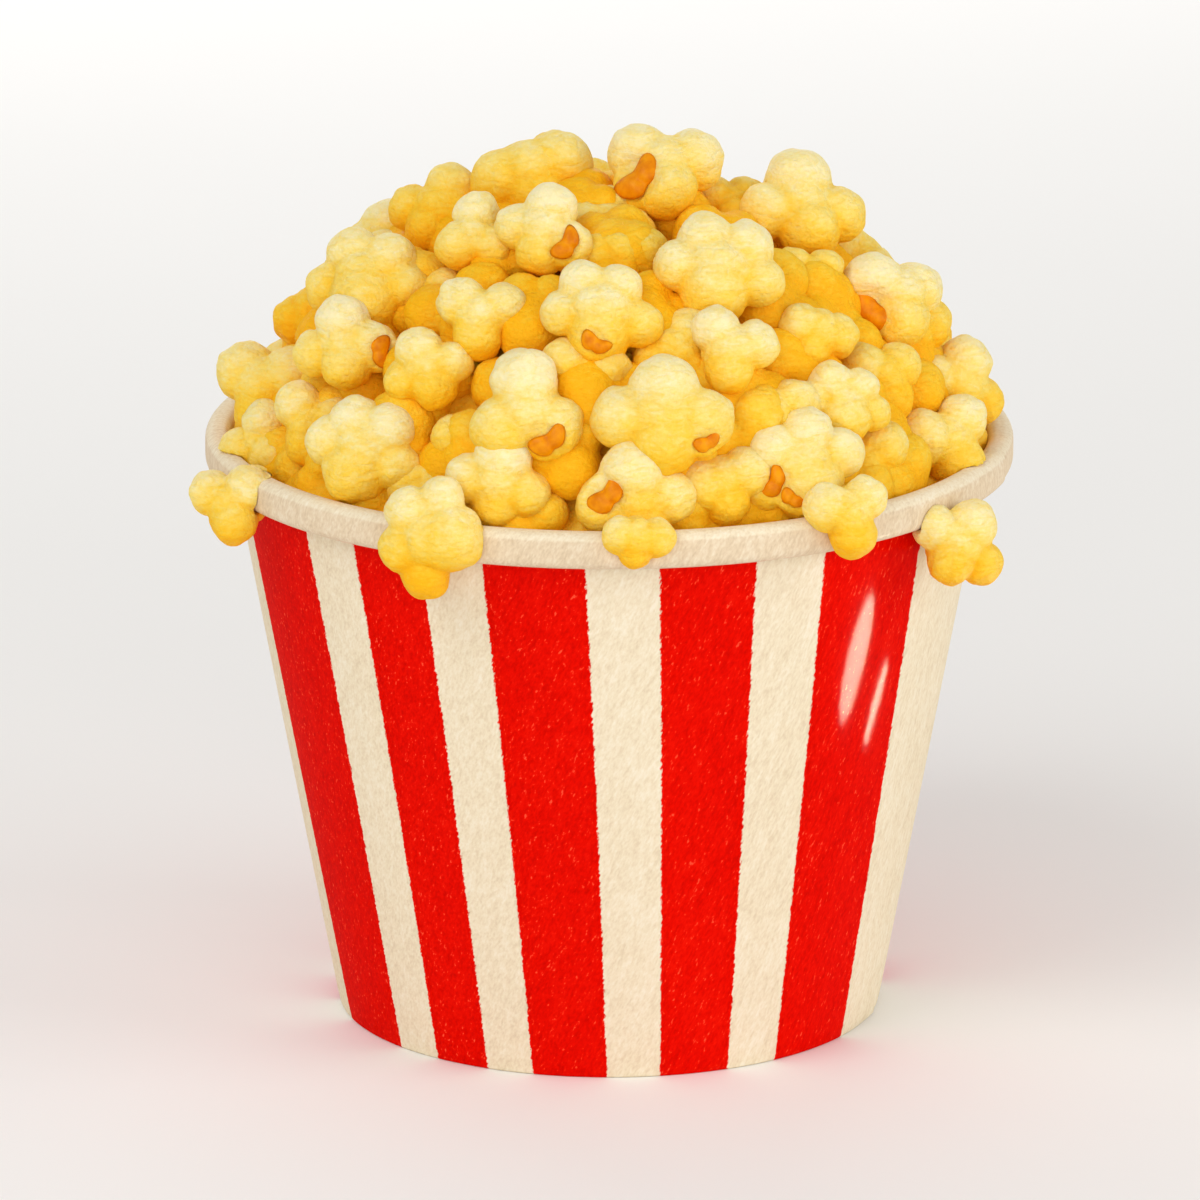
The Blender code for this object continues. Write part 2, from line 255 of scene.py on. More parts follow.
def dome_point(azimuth, rise, sink=0.0):
    """The middle of a flake on the dome, sunk towards the dome's own middle."""
    a, r = math.radians(azimuth), math.radians(rise)
    radius = (DOME_RADIUS - sink) * math.cos(r)
    height = DOME_MIDDLE + (DOME_RISE - sink) * math.sin(r)
    return np.array([radius * math.sin(a), -radius * math.cos(a), height])


def flake_axes(azimuth, rise, turn, lean):
    """A flake's across, up and outward directions. The lean turns its face towards the front."""
    a, r, t = math.radians(azimuth), math.radians(rise), math.radians(turn)
    out = np.array([math.sin(a) * math.cos(r), -math.cos(a) * math.cos(r), math.sin(r)])
    out = out + lean * FRONT
    out = out / np.linalg.norm(out)
    across = np.cross([0, 0, 1.0], out)
    across = across / np.linalg.norm(across)
    up = np.cross(out, across)
    turned_across = math.cos(t) * across + math.sin(t) * up
    turned_up = math.cos(t) * up - math.sin(t) * across
    return np.array([turned_across, turned_up, out])


def course_flakes():
    """Flakes of the courses that the front ones leave room for, as rows like theirs."""
    taken = [dome_point(row[1], row[2]) for row in FRONT_FLAKES]
    kinds = sorted(FLAKE_KINDS)
    small, large = COURSE_SIZES
    found, index = [], 0
    for course, (rise, count) in enumerate(COURSES):
        for i in range(count):
            index += 1
            step = i + 0.5 * (course % 2) + LOOSE_AZIMUTH * (chance(index, 1) - 0.5)
            azimuth = 360 / count * step
            height = rise + LOOSE_RISE * (chance(index, 2) - 0.5)
            place = dome_point(azimuth, height)
            if min(np.linalg.norm(place - other) for other in taken) < COURSE_SPACING:
                continue
            kind = kinds[int(chance(index, 3) * len(kinds))]
            size = small + (large - small) * chance(index, 4)
            turn = 360 * chance(index, 5)
            sink = SLUMP * math.sin(math.radians(rise)) + LOOSE_SINK * chance(index, 6) - 1
            butter = 0.1 + 0.5 * chance(index, 7)
            found.append((kind, azimuth, height, size, turn, sink, butter))
            taken.append(place)
    return found


def under_flakes():
    """Golden flakes below the outer layer, as rows like the others; their gold is butter and painted shade."""
    kinds = sorted(FLAKE_KINDS)
    small, large = UNDER_SIZES
    index = 500
    for course, (rise, count, depth) in enumerate(UNDER_COURSES):
        for i in range(count):
            index += 1
            azimuth = 360 / count * (i + 0.5 * (course % 2) + 0.5 * (chance(index, 1) - 0.5))
            height = rise + 6 * (chance(index, 2) - 0.5)
            slumped = SLUMP * math.sin(math.radians(rise)) * (0.5 - 0.5 * math.cos(math.radians(azimuth)))
            kind = kinds[int(chance(index, 3) * len(kinds))]
            size = small + (large - small) * chance(index, 4)
            sink = depth + 2 * (chance(index, 6) - 0.5) + slumped
            # Gold all over: butter, and painted shade for the gaps between the outer flakes.
            butter = 1.1 + 0.4 * chance(index, 7)
            yield kind, azimuth, height, size, 360 * chance(index, 5), sink, butter


# --- Surfaces ------------------------------------------------------------------------------------


def cube_ball(cells):
    """A unit ball as six square grids. A grid place (a, b) is the direction (1, tan a, tan b), with
    its axes changed round for each of the six sides and its length made 1. Points on the edges
    that two sides share are merged. Returns the directions, the quads, and each point's
    neighbours."""
    t = np.tan(np.linspace(-math.pi / 4, math.pi / 4, cells + 1))
    a, b = np.meshgrid(t, t, indexing="ij")
    one = np.ones_like(a)
    sides = [(one, a, b), (-one, b, a), (b, one, a), (a, -one, b), (a, b, one), (b, a, -one)]
    points = np.concatenate([np.stack(s, axis=-1).reshape(-1, 3) for s in sides])
    points /= np.linalg.norm(points, axis=1, keepdims=True)
    _, first, place = np.unique(
        np.round(points, 6) + 0.0, axis=0, return_index=True, return_inverse=True
    )
    place = place.ravel()
    row = cells + 1
    i, j = np.meshgrid(np.arange(cells), np.arange(cells), indexing="ij")
    cell = (i * row + j).ravel()
    quad = np.stack([cell, cell + row, cell + row + 1, cell + 1], axis=1)
    quads = place[(quad + np.arange(6)[:, None, None] * row * row).reshape(-1, 4)]
    pairs = np.concatenate([quads[:, [k, (k + 1) % 4]] for k in range(4)])
    pairs = np.unique(np.concatenate([pairs, pairs[:, ::-1]]), axis=0)
    starts = np.searchsorted(pairs[:, 0], np.arange(len(first)))
    counts = np.bincount(pairs[:, 0])
    ring = starts[:, None] + np.arange(4) % counts[:, None]
    return points[first], quads, pairs[ring, 1]


def ball_field(points, balls, blend):
    """The distance from each point to a smooth union of balls: minus blend times the logarithm of
    the sum of exp(-distance / blend). Returns it, its gradient, and each ball's share."""
    offset = points[:, None, :] - balls[:, :3]
    length = np.maximum(np.linalg.norm(offset, axis=2), 1e-6)
    gap = length - balls[:, 3]
    nearest = gap.min(axis=1, keepdims=True)
    weight = np.exp((nearest - gap) / blend)
    total = weight.sum(axis=1, keepdims=True)
    share = weight / total
    field = (nearest - blend * np.log(total))[:, 0]
    gradient = (share[..., None] * offset / length[..., None]).sum(axis=1)
    return field, gradient, share


def folds(points, wavelength, index, waves=5):
    """Creased ripples: the mean over some plane waves of |sin(direction . point / wavelength +
    phase)|, from 0 in the creases to about 1."""
    spread = chances(index, 11, (waves, 3)) - 0.5
    spread /= np.linalg.norm(spread, axis=1, keepdims=True)
    phase = TAU * chances(index, 12, (waves,))
    return np.abs(np.sin(points @ spread.T * (math.pi / wavelength) + phase)).mean(axis=1)


def spread_ways(count):
    """Unit directions spread evenly over a ball by the golden angle."""
    k = np.arange(count) + 0.5
    polar = np.arccos(1 - 2 * k / count)
    turn = math.pi * (1 + math.sqrt(5)) * k
    return np.stack([np.cos(turn) * np.sin(polar), np.sin(turn) * np.sin(polar), np.cos(polar)], axis=1)


def flake_balls(kind, index):
    """A flake's lobes, each a little out of true, with the plump middle that joins their faces, and
    the knobs that swell out of them. A knob lies inside its lobe and stands a little proud of it."""
    lobes = np.array(FLAKE_KINDS[kind] + [FACE])
    lobes[:, :3] += 0.08 * (chances(index, 1, (len(lobes), 3)) - 0.5)
    lobes[:, 3] *= 0.96 + 0.08 * chances(index, 2, (len(lobes),))
    count = 9
    way = spread_ways(count) + 0.55 * (chances(index, 3, (len(lobes), count, 3)) - 0.5)
    way /= np.linalg.norm(way, axis=2, keepdims=True)
    radius = lobes[:, 3, None]
    knob = radius * (0.42 + 0.26 * chances(index, 4, (len(lobes), count)))
    reach = radius * (0.98 + 0.06 * chances(index, 5, (len(lobes), count)))
    middle = lobes[:, None, :3] + (reach - knob)[..., None] * way
    knobs = np.concatenate([middle, knob[..., None]], axis=2).reshape(-1, 4)
    lobes[:, 3] *= 0.95
    return lobes, np.concatenate([lobes, knobs])


def settled(points, balls, blend, rounds):
    """Points moved along the gradient onto the union, by no more than a little each round."""
    for _ in range(rounds):
        field, gradient, _ = ball_field(points, balls, blend)
        slope = np.maximum((gradient**2).sum(axis=1), 0.4)
        points = points - np.clip(field / slope, -0.06, 0.06)[:, None] * gradient
    return points


def flake_cups(kind, index):
    """The cup lobes that a front flake's hulls lie in. Each starts in front of the flake at its row's
    place and comes straight in to the union, and its ball is set half proud of it. Returns rows of
    the cup's crown, its normal, its radius, and the hull's size and turn."""
    _, balls = flake_balls(kind, index)
    found = []
    for row, across, up, size, turn in HULLS:
        if row != index:
            continue
        half = FRONT_FLAKES[row][3] / 2
        point = np.array([[across, up, 1.4]])
        for _ in range(30):
            field, _, _ = ball_field(point, balls, 0.03)
            point[0, 2] -= 0.6 * min(field[0], 0.2)
            point[0, 2] = max(point[0, 2], -0.1)
        _, gradient, _ = ball_field(point, balls, 0.2)
        normal = gradient[0] / np.linalg.norm(gradient[0]) + np.array([0, 0, 0.9])
        normal = normal / np.linalg.norm(normal)
        radius = 0.62 * size / half
        found.append((point[0] + 0.10 * radius * normal, normal, radius, size, turn))
    return found


def flake_surface(ball, kind, index, half, cups=()):
    """A flake in its own frame, in shares of half its size. Each direction of the ball grid is
    followed in from outside to the smooth union of lobes and knobs. Then the points are evened out
    and set back on the union a few times, fine folds are pressed in along the gradient, and each
    cup is hollowed by a bell-shaped dent. Returns the points and how deep in a crease each lies."""
    ways, _, near = ball
    lobes, balls = flake_balls(kind, index)
    rounds = [np.append(crown - radius * normal, radius) for crown, normal, radius, _, _ in cups]
    if rounds:
        balls = np.concatenate([balls, rounds])
    blend = 0.022
    reach = np.full(len(ways), 1.45)
    for _ in range(16):
        field, _, _ = ball_field(ways * reach[:, None], balls, blend)
        reach = np.maximum(reach - 0.9 * field, 0.15)
    points = ways * reach[:, None]
    for _ in range(6):
        points = 0.5 * points + 0.5 * points[near].mean(axis=1)
        points = settled(points, balls, blend, 2)
    points = settled(points, balls, blend, 2)
    _, gradient, _ = ball_field(points, balls, blend)
    normal = gradient / np.maximum(np.linalg.norm(gradient, axis=1, keepdims=True), 0.3)
    field, _, share = ball_field(points, lobes, 0.07)
    between_lobes = 2 * (1 - share.max(axis=1))
    between_knobs = np.clip(-ball_field(points, lobes, 0.02)[0] / 0.05 + 0.2, 0, 1)
    crease = np.clip(0.6 * between_lobes + 0.5 * between_knobs, 0, 1.2)
    relief = 0.5 * folds(points, 4.0 * MM / half, index) + 0.3 * folds(points, 2.1 * MM / half, index + 50)
    points = points + normal * ((relief - 0.5) * MM / half)[:, None]
    for crown, way, radius, _, _ in cups:
        away = np.linalg.norm(points - crown, axis=1) / radius
        points = points - (CUP_DEPTH * radius * np.exp(-((away / 0.72) ** 4)))[:, None] * way
        crease = crease * np.clip(away - 0.3, 0, 1)
    return points, crease


def make_mesh(name, points, faces, attributes=None, uv=None):
    """A smooth-shaded object from points, quads or triangles, and values at the points."""
    mesh = bpy.data.meshes.new(name)
    mesh.from_pydata(points.tolist(), [], list(faces))
    for key, values in (attributes or {}).items():
        layer = mesh.attributes.new(key, "FLOAT", "POINT")
        layer.data.foreach_set("value", np.ascontiguousarray(values, dtype=np.float32))
    mesh.shade_smooth()
    mesh.update()
    made = bpy.data.objects.new(name, mesh)
    bpy.context.scene.collection.objects.link(made)
    return made


# --- Materials -----------------------------------------------------------------------------------


class Field:
    """A socket that Python's arithmetic works on, by adding Math nodes to its material."""

    def __init__(self, finish, socket):
        self.finish, self.socket = finish, socket

    def __add__(self, other):
        return self.finish.math("ADD", self, other)

    def __radd__(self, other):
        return self.finish.math("ADD", other, self)

    def __sub__(self, other):
        return self.finish.math("SUBTRACT", self, other)

    def __rsub__(self, other):
        return self.finish.math("SUBTRACT", other, self)

    def __mul__(self, other):
        return self.finish.math("MULTIPLY", self, other)

    def __rmul__(self, other):
        return self.finish.math("MULTIPLY", other, self)

    def __truediv__(self, other):
        return self.finish.math("DIVIDE", self, other)


class Finish:
    """A Principled material. Constants go straight onto its sockets."""

    def __init__(self, name, **constants):
        self.material = bpy.data.materials.new(name)
        self.material.use_nodes = True
        self.tree = self.material.node_tree
        self.surface = self.tree.nodes["Principled BSDF"]
        for key, value in constants.items():
            self.surface.inputs[key.replace("_", " ")].default_value = value

    def node(self, kind, settings=None, inputs=None, output=0):
        made = self.tree.nodes.new(kind)
        for key, value in (settings or {}).items():
            if key == "stops":
                self.set_stops(made.color_ramp, value)
            else:
                setattr(made, key, value)
        for key, value in (inputs or {}).items():
            self.link(value, made.inputs[key])
        return Field(self, made.outputs[output])

    def set_stops(self, ramp, stops):
        while len(ramp.elements) < len(stops):
            ramp.elements.new(1.0)
        for element, (place, colour) in zip(ramp.elements, stops):
            element.position = place
            element.color = (*colour, 1.0)

    def link(self, value, socket):
        if isinstance(value, Field):
            self.tree.links.new(value.socket, socket)
        else:
            socket.default_value = value

    def math(self, operation, *values, clamp=False):
        inputs = dict(enumerate(values))
        return self.node("ShaderNodeMath", {"operation": operation, "use_clamp": clamp}, inputs)

    def place(self):
        return self.node("ShaderNodeTexCoord", output="Object")

    def parts(self, vector):
        split = self.tree.nodes.new("ShaderNodeSeparateXYZ")
        self.link(vector, split.inputs[0])
        return [Field(self, split.outputs[k]) for k in range(3)]

    def noise(self, vector, scale, detail=3.0, roughness=0.5, stretch=(1, 1, 1), distortion=0.0):
        inputs = {"Vector": vector, "Scale": (scale * stretch[0], scale * stretch[1], scale * stretch[2])}
        scaled = self.node("ShaderNodeMapping", inputs=inputs)
        inputs = {"Vector": scaled, "Scale": 1.0, "Detail": detail, "Roughness": roughness, "Distortion": distortion}
        return self.node("ShaderNodeTexNoise", inputs=inputs, output="Fac")

    def ramp(self, factor, stops):
        return self.node("ShaderNodeValToRGB", {"stops": stops}, {"Fac": factor}, output="Color")

    def step(self, value, low, high):
        """0 below low, 1 above high, and smooth between them."""
        inputs = {"Value": value, "From Min": low, "From Max": high}
        return self.node("ShaderNodeMapRange", {"interpolation_type": "SMOOTHSTEP"}, inputs)

    def mix(self, factor, first, second, mode="MIX"):
        made = self.tree.nodes.new("ShaderNodeMix")
        made.data_type = "RGBA"
        made.blend_type = mode
        self.link(factor, made.inputs[0])
        self.link(first, made.inputs[6])
        self.link(second, made.inputs[7])
        return Field(self, made.outputs[2])

    def bump(self, height, distance, strength=1.0):
        inputs = {"Height": height, "Distance": distance, "Strength": strength}
        self.link(self.node("ShaderNodeBump", inputs=inputs), self.surface.inputs["Normal"])

    def colour(self, value):
        self.link(value, self.surface.inputs["Base Color"])

    def rough(self, value):
        self.link(value, self.surface.inputs["Roughness"])


def tone(red, green, blue):
    """A display colour, 0 to 255, as the linear colour that a shader takes."""
    shares = np.array([red, green, blue]) / 255
    linear = np.where(shares <= 0.04045, shares / 12.92, ((shares + 0.055) / 1.055) ** 2.4)
    return tuple(float(v) for v in linear)


def flat(red, green, blue):
    return (*tone(red, green, blue), 1.0)


def popcorn_finish():
    """Cream on the crowns, through yellow to orange gold in the folds, as its attribute says: butter,
    and painted shade in the folds and low down, with fine foam relief and a little light let through."""
    made = Finish(
        "popcorn",
        Subsurface_Weight=0.2,
        Subsurface_Scale=0.003,
        Specular_IOR_Level=0.15,
    )
    made.surface.inputs["Subsurface Radius"].default_value = (1.0, 0.7, 0.3)
    place = made.place()
    butter = made.node("ShaderNodeAttribute", {"attribute_name": "butter"}, output="Fac")
    patches = made.noise(place, 110, detail=3.0)
    strokes = made.noise(place, 520, detail=4.0, roughness=0.6, stretch=(0.6, 0.6, 1.6), distortion=0.8)
    foam = made.noise(place, 1100, detail=4.0, roughness=0.65)
    bubbles = made.node("ShaderNodeTexVoronoi", inputs={"Vector": place, "Scale": 900.0}, output="Distance")
    level = butter + 0.35 * (patches - 0.5) + 0.75 * (strokes - 0.5) + 0.40 * (foam - 0.5)
    stops = [
        (0.00, tone(253, 238, 186)),
        (0.20, tone(252, 230, 154)),
        (0.40, tone(252, 220, 114)),
        (0.60, tone(253, 209, 74)),
        (0.80, tone(254, 199, 44)),
        (1.00, tone(255, 186, 16)),
    ]
    made.colour(made.ramp(level, stops))
    made.rough(0.66 - 0.15 * patches)
    made.bump(0.45 * strokes + 0.35 * foam + 0.2 * bubbles, 0.0012, 0.8)
    return made.material


def hull_finish():
    """Thin glossy amber shell, mottled from brown to light amber."""
    made = Finish("hull", Coat_Weight=0.08, Coat_Roughness=0.25, Specular_IOR_Level=0.1)
    place = made.place()
    mottle = made.noise(place, 420, detail=3.0)
    stops = [
        (0.30, tone(216, 118, 0)),
        (0.50, tone(232, 139, 0)),
        (0.70, tone(242, 157, 4)),
    ]
    made.colour(made.ramp(mottle, stops))
    made.rough(0.45)
    made.bump(mottle, 0.0003, 0.5)
    return made.material


def stripe_mask(made, azimuth, edge):
    """1 inside a stripe: the sum over the stripes of how far the azimuth is inside each one."""
    total = None
    for middle, width in STRIPES:
        half = math.radians(width / 2)
        away = made.math("ABSOLUTE", azimuth - math.radians(middle))
        away = made.math("MINIMUM", away, made.math("ABSOLUTE", TAU - away))
        inside = 1.0 - made.step(away, half - edge, half + edge)
        total = inside if total is None else total + inside
    return total


def sleeve_finish():
    """Cream board with fibres and red ink laid over it in stripes, under a thin coat. The rolled
    rim's face is painted darker, as shade below its lighter top edge.
    """
    made = Finish("printed_board", Coat_Weight=0.05, Coat_Roughness=0.075, Specular_IOR_Level=0.0)
    place = made.place()
    x, y, z = made.parts(place)
    azimuth = made.math("ARCTAN2", x, 0.0 - y) - math.radians(STRIPE_SKEW) * (HEIGHT / 2 - z)
    slanted = made.node("ShaderNodeCombineXYZ", inputs={"X": x - 0.35 * z, "Y": y, "Z": z})
    fibre = made.noise(slanted, 240, detail=4.0, stretch=(1, 1, 0.35))
    streak = made.noise(slanted, 900, detail=3.0, stretch=(1, 1, 0.3))
    grain = made.noise(slanted, 1900, detail=2.0, stretch=(1, 1, 0.5))
    cloud = made.noise(place, 45, detail=2.0, stretch=(1, 1, 0.5))
    ragged = azimuth + 0.004 * (streak - 0.5) + 0.018 * (grain - 0.5)
    ink = stripe_mask(made, ragged, 0.0025)
    # The rolled rim has no ink. Painted shade: its face takes a darker board colour, and a strip along its top is
    # left lighter as if lit from above.
    rolled = made.step(z, HEIGHT - RIM_HEIGHT - 0.4 * MM, HEIGHT - RIM_HEIGHT + 0.6 * MM)
    lit_rim_top = made.step(z, HEIGHT - 1.8 * MM, HEIGHT - 1.2 * MM)
    specks = made.step(streak * 0.35 + grain * 0.65, 0.60, 0.68)
    cover = ink * (1.0 - rolled)
    weave = 0.15 * fibre + 0.35 * streak + 0.4 * grain + 0.1 * cloud
    board = made.ramp(
        weave,
        [(0.36, tone(226, 207, 176)), (0.50, tone(238, 223, 193)), (0.64, tone(245, 234, 211))],
    )
    # Painted shade: the darker board colour of the rim's face.
    roll = made.ramp(
        weave,
        [(0.36, tone(214, 191, 159)), (0.50, tone(228, 207, 176)), (0.64, tone(238, 223, 197))],
    )
    red = made.ramp(
        weave,
        [(0.36, tone(207, 6, 0)), (0.50, tone(226, 9, 0)), (0.64, tone(238, 22, 4))],
    )
    red = made.mix(specks * 0.45, red, flat(250, 110, 76))
    board = made.mix(rolled * (1.0 - lit_rim_top), board, roll)
    made.colour(made.mix(cover, board, red))
    made.rough(0.62 - 0.08 * cover + 0.10 * (fibre - 0.5))
    made.bump(0.6 * streak + 0.4 * grain, 0.00018, 0.7)
    return made.material


def base_finish():
    made = Finish("plain_board", Specular_IOR_Level=0.3)
    place = made.place()
    fibre = made.noise(place, 300, detail=5.0)
    grain = made.noise(place, 1800, detail=3.0)
    stops = [(0.3, tone(214, 190, 150)), (0.5, tone(230, 209, 172)), (0.7, tone(240, 222, 190))]
    made.colour(made.ramp(0.6 * fibre + 0.4 * grain, stops))
    made.rough(0.75 + 0.1 * (fibre - 0.5))
    made.bump(grain, 0.00012, 0.6)
    return made.material


def floor_finish():
    made = Finish("floor", Roughness=0.8, Specular_IOR_Level=0.0)
    place = made.place()
    made.colour(made.ramp(made.noise(place, 3.0), [(0.0, (0.90, 0.893, 0.88)), (1.0, (0.93, 0.923, 0.91))]))
    return made.material


# --- The bucket ----------------------------------------------------------------------------------


def wall_radius(height):
    return FOOT_RADIUS + WALL_TAPER * height


def arc(radius, height, size, start, end, steps):
    """Points of an arc about (radius, height), from one angle to another in degrees."""
    sweep = np.radians(np.linspace(start, end, steps + 1))
    return np.stack([radius + size * np.cos(sweep), height + size * np.sin(sweep)], axis=1)


def run(start, end, steps):
    """Evenly spaced points from one (radius, height) towards another, without the last."""
    t = np.arange(steps)[:, None] / steps
    return np.array(start) * (1 - t) + np.array(end) * t


def closed_grid(grid):
    """Points and faces of a grid whose columns go round. Its first and last rows are each one point
    repeated, which becomes a pole."""
    rows, columns = grid.shape[:2]
    points = np.concatenate([grid[:1, 0], grid[1:-1].reshape(-1, 3), grid[-1:, 0]])
    place = np.arange(rows - 2)[:, None] * columns + np.arange(columns) + 1
    place = np.concatenate([np.zeros((1, columns), int), place, np.full((1, columns), len(points) - 1)])
    after = np.roll(place, -1, axis=1)
    low = np.stack([place[0], after[1], place[1]], axis=1)
    high = np.stack([place[-1], place[-2], after[-2]], axis=1)
    middle = np.stack([place[1:-2], after[1:-2], after[2:-1], place[2:-1]], axis=-1).reshape(-1, 4)
    return points, middle.tolist() + low.tolist() + high.tolist()


def turned_ring(profile, azimuths, swell):
    """Points and faces of a closed (radius, height) profile turned about Z. swell(azimuth, height,
    radius) is added to the radius at each point of the grid."""
    radius, height = profile[:, 0][:, None], profile[:, 1][:, None]
    a = azimuths[None, :]
    r = radius + swell(a, height, radius)
    points = np.stack([r * np.sin(a), -r * np.cos(a), height + 0 * a], axis=-1).reshape(-1, 3)
    rows, columns = len(profile), len(azimuths)
    place = np.arange(rows * columns).reshape(rows, columns)
    above, beside = np.roll(place, -1, axis=0), np.roll(place, -1, axis=1)
    quads = np.stack([place, beside, np.roll(above, -1, axis=1), above], axis=-1)
    return points, quads.reshape(-1, 4).tolist()


def build_sleeve(finish):
    """The printed board, from the crimped foot up the wall and over into the rolled rim."""
    top, low = HEIGHT - RIM_CORNER, HEIGHT - RIM_HEIGHT + RIM_CORNER
    outer, hollow = RIM_RADIUS - RIM_CORNER, RIM_CORNER - BOARD
    lip = wall_radius(low) + LIP_GAP
    foot_inside = FOOT_RADIUS - FOOT_THICKNESS
    foot_height = BASE_LOW[2] - 0.35 * MM
    bead = 0.7 * MM
    wall_foot = (wall_radius(bead), bead)
    profile = np.concatenate(
        [
            arc(foot_inside + 0.5 * MM, 0.5 * MM, 0.5 * MM, 180, 270, 4),
            arc(FOOT_RADIUS - bead, bead, bead, 270, 350, 6),
            run(wall_foot, (wall_radius(top), top), 50)[1:],
            arc(wall_radius(top) + hollow, top, hollow, 180, 90, 6),
            arc(outer, top, hollow, 90, 0, 6),
            arc(outer, low, hollow, 0, -90, 6),
            [(lip, low - hollow), (lip, low - RIM_CORNER)],
            arc(outer, low, RIM_CORNER, -90, 0, 8),
            arc(outer, top, RIM_CORNER, 0, 90, 8),
            arc(wall_radius(top) - BOARD + RIM_CORNER, top, RIM_CORNER, 90, 180, 8),
            run((wall_radius(top) - BOARD, top), (wall_radius(foot_height) - BOARD, foot_height), 10)[1:],
            [(wall_radius(foot_height) - BOARD, foot_height)],
            [(wall_radius(foot_height) - FOOT_THICKNESS, foot_height)],
        ]
    )
    seam = math.radians(SEAM_AZIMUTH)
    even = np.linspace(0, TAU, SLEEVE_COLUMNS, endpoint=False)
    close = seam + np.radians([-0.5, -0.3, -0.15, -0.05, 0.05, 0.15, 0.3, 0.5])
    azimuths = np.sort(np.concatenate([even, close]) % TAU)

    def swell(a, height, radius):
        """The lap's edge stands a board's thickness proud and eases back round the bucket, and the
        wall is out of true by a few tenths of a millimetre."""
        past = np.mod(a - seam + math.pi, TAU) - math.pi
        edge = 1 / (1 + np.exp(past / math.radians(0.06)))
        lap = 0.45 * MM * edge * np.exp(past / math.radians(9)) * (past < math.radians(1))
        wave = 0.12 * MM * np.sin(2 * a + 1.3) + 0.08 * MM * np.sin(5 * a + 40 * height)
        outside = (radius > wall_radius(height) - 0.3 * BOARD) & (height > 0.5 * MM)
        return (lap + wave * (height / HEIGHT)) * outside

    sleeve = make_mesh("printed_sleeve", *turned_ring(profile, azimuths, swell))
    sleeve.data.set_sharp_from_angle(angle=math.radians(50))
    sleeve.data.materials.append(finish)
    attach(sleeve, "root")
    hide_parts("bucket_sleeve")
    return sleeve


def build_base(finish):
    """The raised round board: a flat disc with a ring pressed into its under side near the edge."""
    low, high = BASE_LOW[2], BASE_HIGH[2]
    inward = np.array([0.3, 2.4, 3.0, 3.6, 4.2, 4.8, 5.4, 8.0]) * MM
    radii = np.concatenate([np.linspace(0, BASE_RADIUS - 12 * MM, 9), BASE_RADIUS - inward[::-1]])
    press = 0.3 * MM * np.exp(-(((radii - BASE_RADIUS + 3.9 * MM) / (0.8 * MM)) ** 2))
    under = np.stack([radii, low + press], axis=1)
    edge = np.array([(BASE_RADIUS, low + 0.3 * MM), (BASE_RADIUS, high - 0.3 * MM)])
    over = np.stack([radii[::-1], np.full(len(radii), high)], axis=1)
    profile = np.concatenate([under, edge, over])
    a = np.linspace(0, TAU, 128, endpoint=False)[None, :]
    r = profile[:, :1]
    grid = np.stack([r * np.sin(a), -r * np.cos(a), profile[:, 1:] + 0 * a], axis=-1)
    disc = make_mesh("raised_base", *closed_grid(grid))
    disc.data.materials.append(finish)
    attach(disc, "root")
    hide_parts("base_disc")


# --- The popcorn ---------------------------------------------------------------------------------


def clear_of_rim(points, outside):
    """Points inside the board are moved to its surface, so that a flake rests against it. A flake
    that hangs outside goes straight up to the rim's top or straight out to its face, whichever is
    nearer. One of the heap goes up or inwards, and none of it is left outside below the rim."""
    points = points.copy()
    radius = np.hypot(points[:, 0], points[:, 1])
    height = points[:, 2]
    top = HEIGHT + CONTACT
    rolled = height > HEIGHT - RIM_HEIGHT
    face = np.where(rolled, RIM_RADIUS, wall_radius(height)) + CONTACT
    inner = wall_radius(height) - BOARD - CONTACT
    within = (radius > inner) & (height < top)
    if outside:
        within &= radius < face
    goal = face if outside else inner
    lift = within & (top - height <= np.abs(goal - radius))
    move = within & ~lift
    points[lift, 2] = top
    goal = np.where(move, goal, radius)
    if not outside:
        over = RIM_RADIUS - inner
        drawn_in = inner + over * (1 - np.exp(-np.maximum(radius - inner, 0) / over))
        goal = np.where(lift, drawn_in, goal)
    points[:, :2] *= (goal / np.maximum(radius, 1e-6))[:, None]
    return points


def dome_share(points):
    """Where a point lies from the dome's middle, with 1 on the sheet of the flakes' middles."""
    return np.sqrt(
        (points[:, 0] ** 2 + points[:, 1] ** 2) / DOME_RADIUS**2
        + ((points[:, 2] - DOME_MIDDLE) / DOME_RISE) ** 2
    )


def place_flake(ball, kind, index, middle, axes, size, butter, cups=(), outside=False):
    """One flake in the row frame, with its gold level: its own share of butter, with painted shade in the
    creases and towards its lower end, butter and painted shade deep in the heap, and none on the
    crowns. Returns its points, gold level and quads."""
    half = size * MM / 2
    local, crease = flake_surface(ball, kind, index, half, cups)
    points = middle + half * local @ axes
    # Painted shade: gold in the creases and towards the lower end, as if the light fell from above; deep in the heap
    # the gold is both butter and painted shade.
    low = np.clip(0.46 - 0.75 * (local @ axes)[:, 2], 0, 1.1) ** 1.3
    deep = np.clip((1.08 - dome_share(points)) / 0.20, 0, 1.3) * (not outside)
    level = 0.50 * butter + 0.30 * crease + 0.85 * low + 0.26 * deep
    return clear_of_rim(points, outside), np.clip(level, 0, 1), ball[1]


def joined(name, flakes, finish):
    """Flakes as one piece."""
    points = np.concatenate([f[0] for f in flakes])
    levels = np.concatenate([f[1] for f in flakes])
    starts = np.cumsum([0] + [len(f[0]) for f in flakes])
    faces = np.concatenate([f[2] + start for f, start in zip(flakes, starts)])
    piece = make_mesh(name, points, faces.tolist(), {"butter": levels})
    piece.data.materials.append(finish)
    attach(piece, "root")
    return piece


